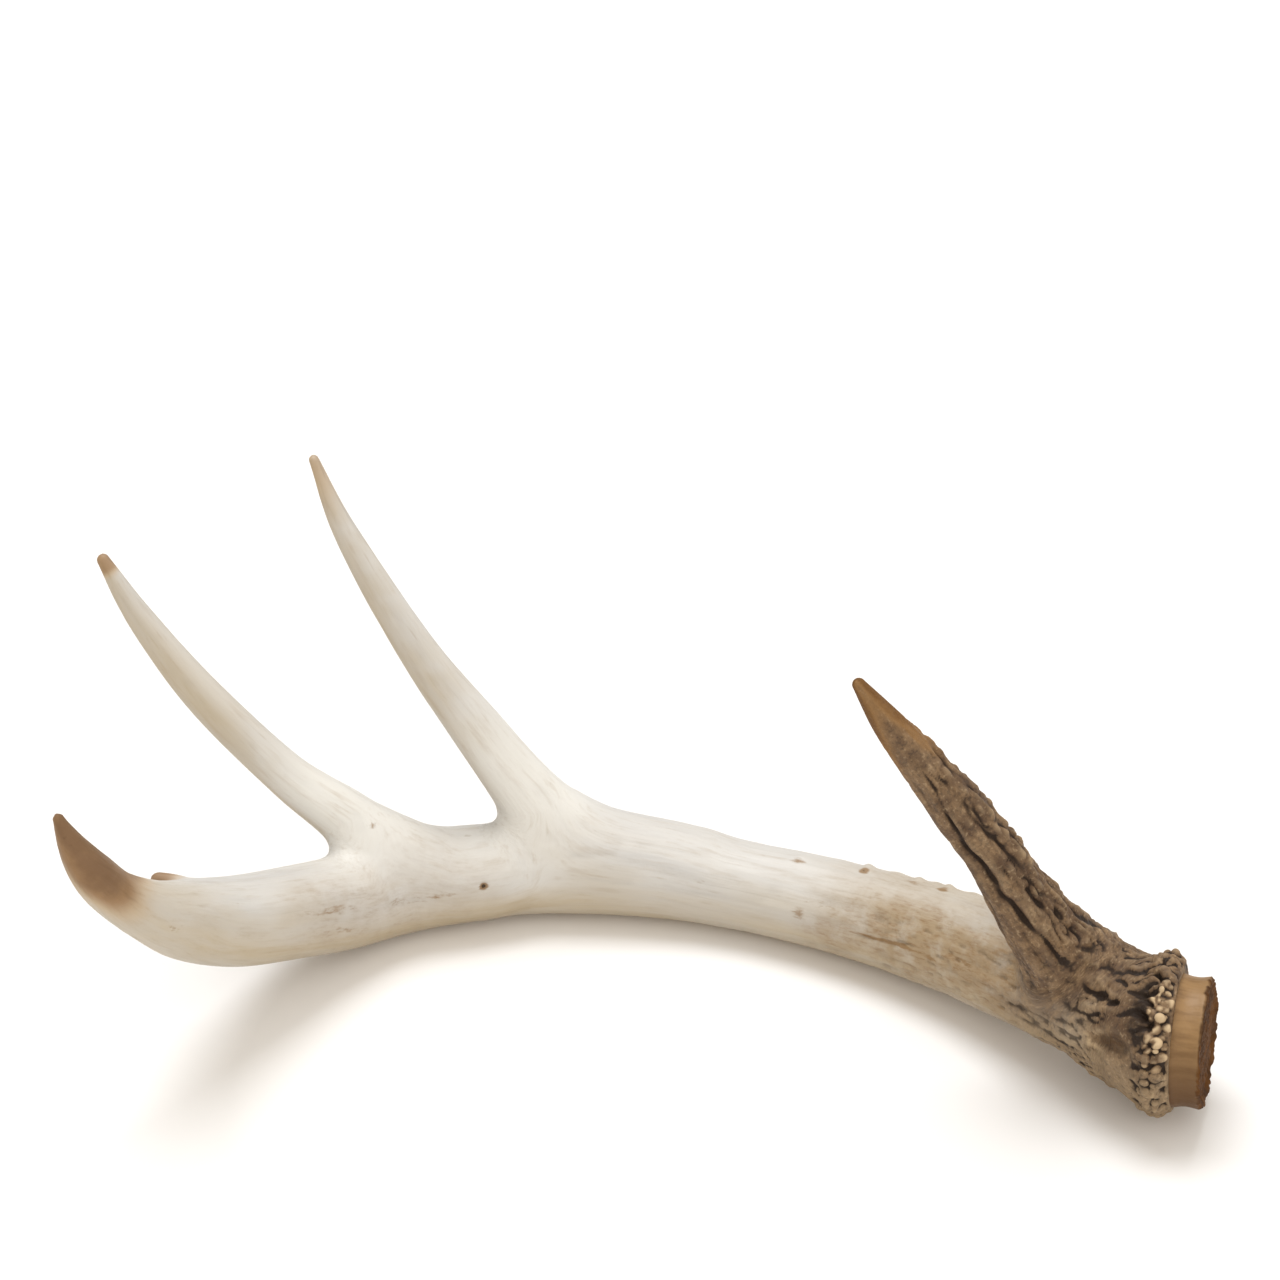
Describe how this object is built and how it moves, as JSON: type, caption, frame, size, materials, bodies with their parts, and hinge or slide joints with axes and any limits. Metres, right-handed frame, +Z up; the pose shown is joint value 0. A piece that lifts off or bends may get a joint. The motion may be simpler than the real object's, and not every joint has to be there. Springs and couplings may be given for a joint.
{
  "type": "deer antler",
  "caption": "Single deer antler with curved main beam, brow tine, upright tines, pearled burr and sawn pedicle, lying as it rests.",
  "frame": {"origin": "middle of the footprint of the whole antler, at the height of the surface that it rests on", "axes": "+X from the tip of the main beam towards the cut face of the pedicle, +Y towards the outside of the beam's curve, +Z up"},
  "size_m": [0.3721, 0.164, 0.1677],
  "materials": {
    "beam_bone": "weathered antler bone, satin, ivory to brown towards the burr",
    "dark_tine": "rough grey brown antler, furrowed, with a smooth tan tip",
    "pale_tine": "smooth pale antler bone, satin, with a faint tan tip",
    "skull_bone": "smooth tan skull bone, satin, dark brown at the cut rim"
  },
  "bodies": {
    "root": {"main_beam": "beam_bone", "brow_tine": "dark_tine", "second_tine": "pale_tine", "third_tine": "pale_tine", "pedicle": "skull_bone"}
  },
  "joints": []
}
